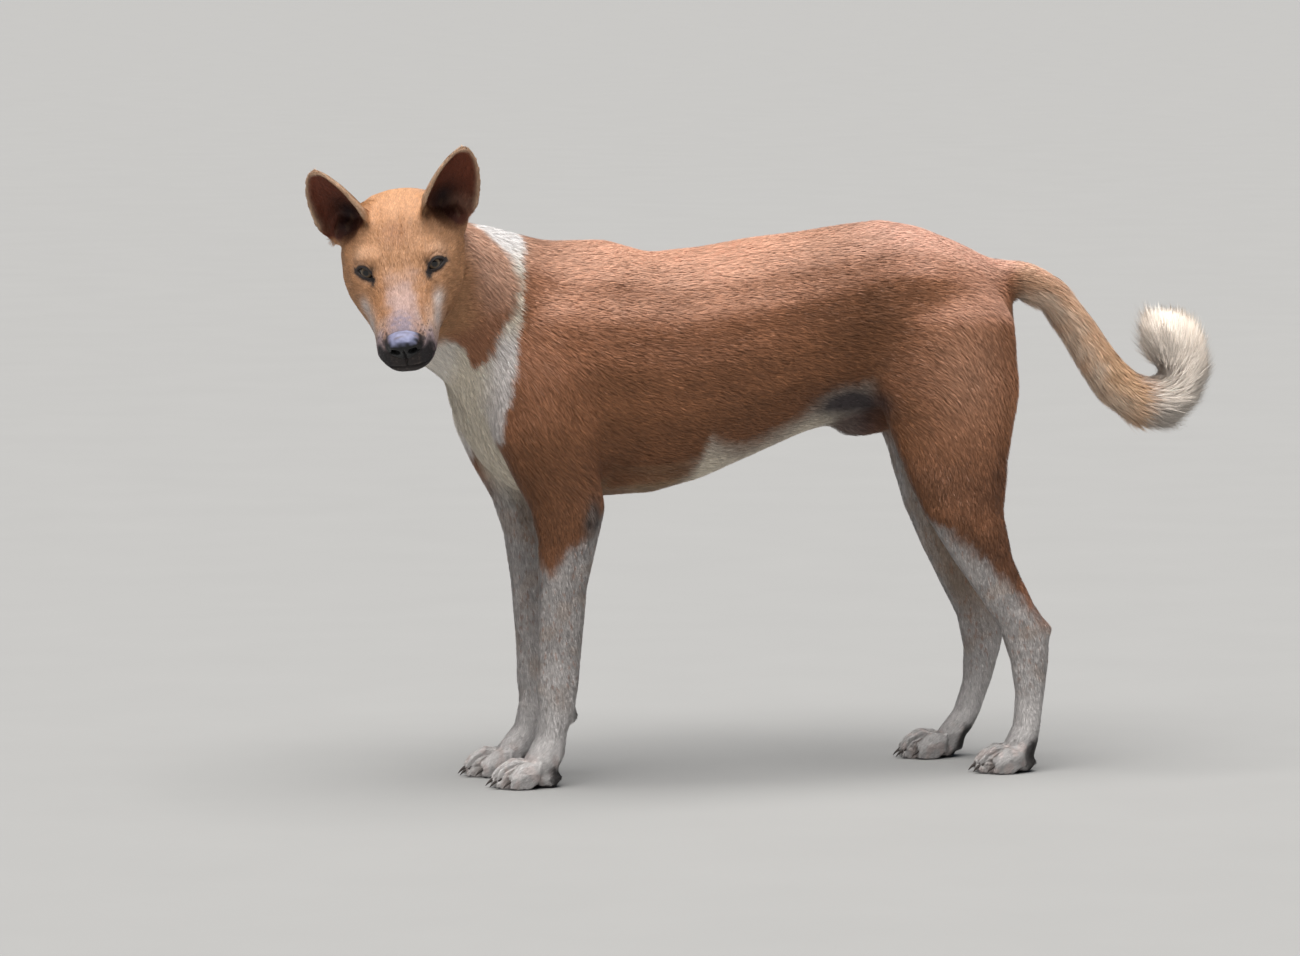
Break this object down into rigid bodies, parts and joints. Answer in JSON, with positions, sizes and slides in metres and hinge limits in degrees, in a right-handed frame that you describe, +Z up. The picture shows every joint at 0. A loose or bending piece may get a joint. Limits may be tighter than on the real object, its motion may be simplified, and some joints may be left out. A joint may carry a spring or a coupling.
{
  "type": "standing dog",
  "caption": "Short-haired tan and white village dog standing with its head turned to its left, as a still life-size display model.",
  "frame": {"origin": "on the floor, under the middle of the bounding box", "axes": "+Z up, +X towards the tail, so that the dog stands facing -X, +Y towards its right side"},
  "size_m": [0.958, 0.2758, 0.6413],
  "materials": {
    "tan_coat": "short tan hair that lies flat",
    "pale_coat": "short cream to grey-white hair",
    "nose": "moist black skin with a fine grain",
    "eye": "glossy, brown iris and black pupil"
  },
  "bodies": {
    "root": {"chest": "tan_coat", "ear_left": "tan_coat", "ear_right": "tan_coat", "eye_left": "eye", "eye_right": "eye", "foreleg_left_forearm": "pale_coat", "foreleg_left_paw": "pale_coat", "foreleg_left_upper": "tan_coat", "foreleg_right_forearm": "pale_coat", "foreleg_right_paw": "pale_coat", "foreleg_right_upper": "tan_coat", "head": "tan_coat", "hindleg_left_foot": "pale_coat", "hindleg_left_paw": "pale_coat", "hindleg_left_shank": "pale_coat", "hindleg_left_thigh": "tan_coat", "hindleg_right_foot": "pale_coat", "hindleg_right_paw": "pale_coat", "hindleg_right_shank": "pale_coat", "hindleg_right_thigh": "tan_coat", "loin": "tan_coat", "lower_jaw": "pale_coat", "muzzle": "tan_coat", "neck": "tan_coat", "nose": "nose", "rump": "tan_coat", "sheath": "pale_coat", "tail_base": "tan_coat", "tail_middle": "tan_coat", "tail_tip": "pale_coat"}
  },
  "joints": []
}
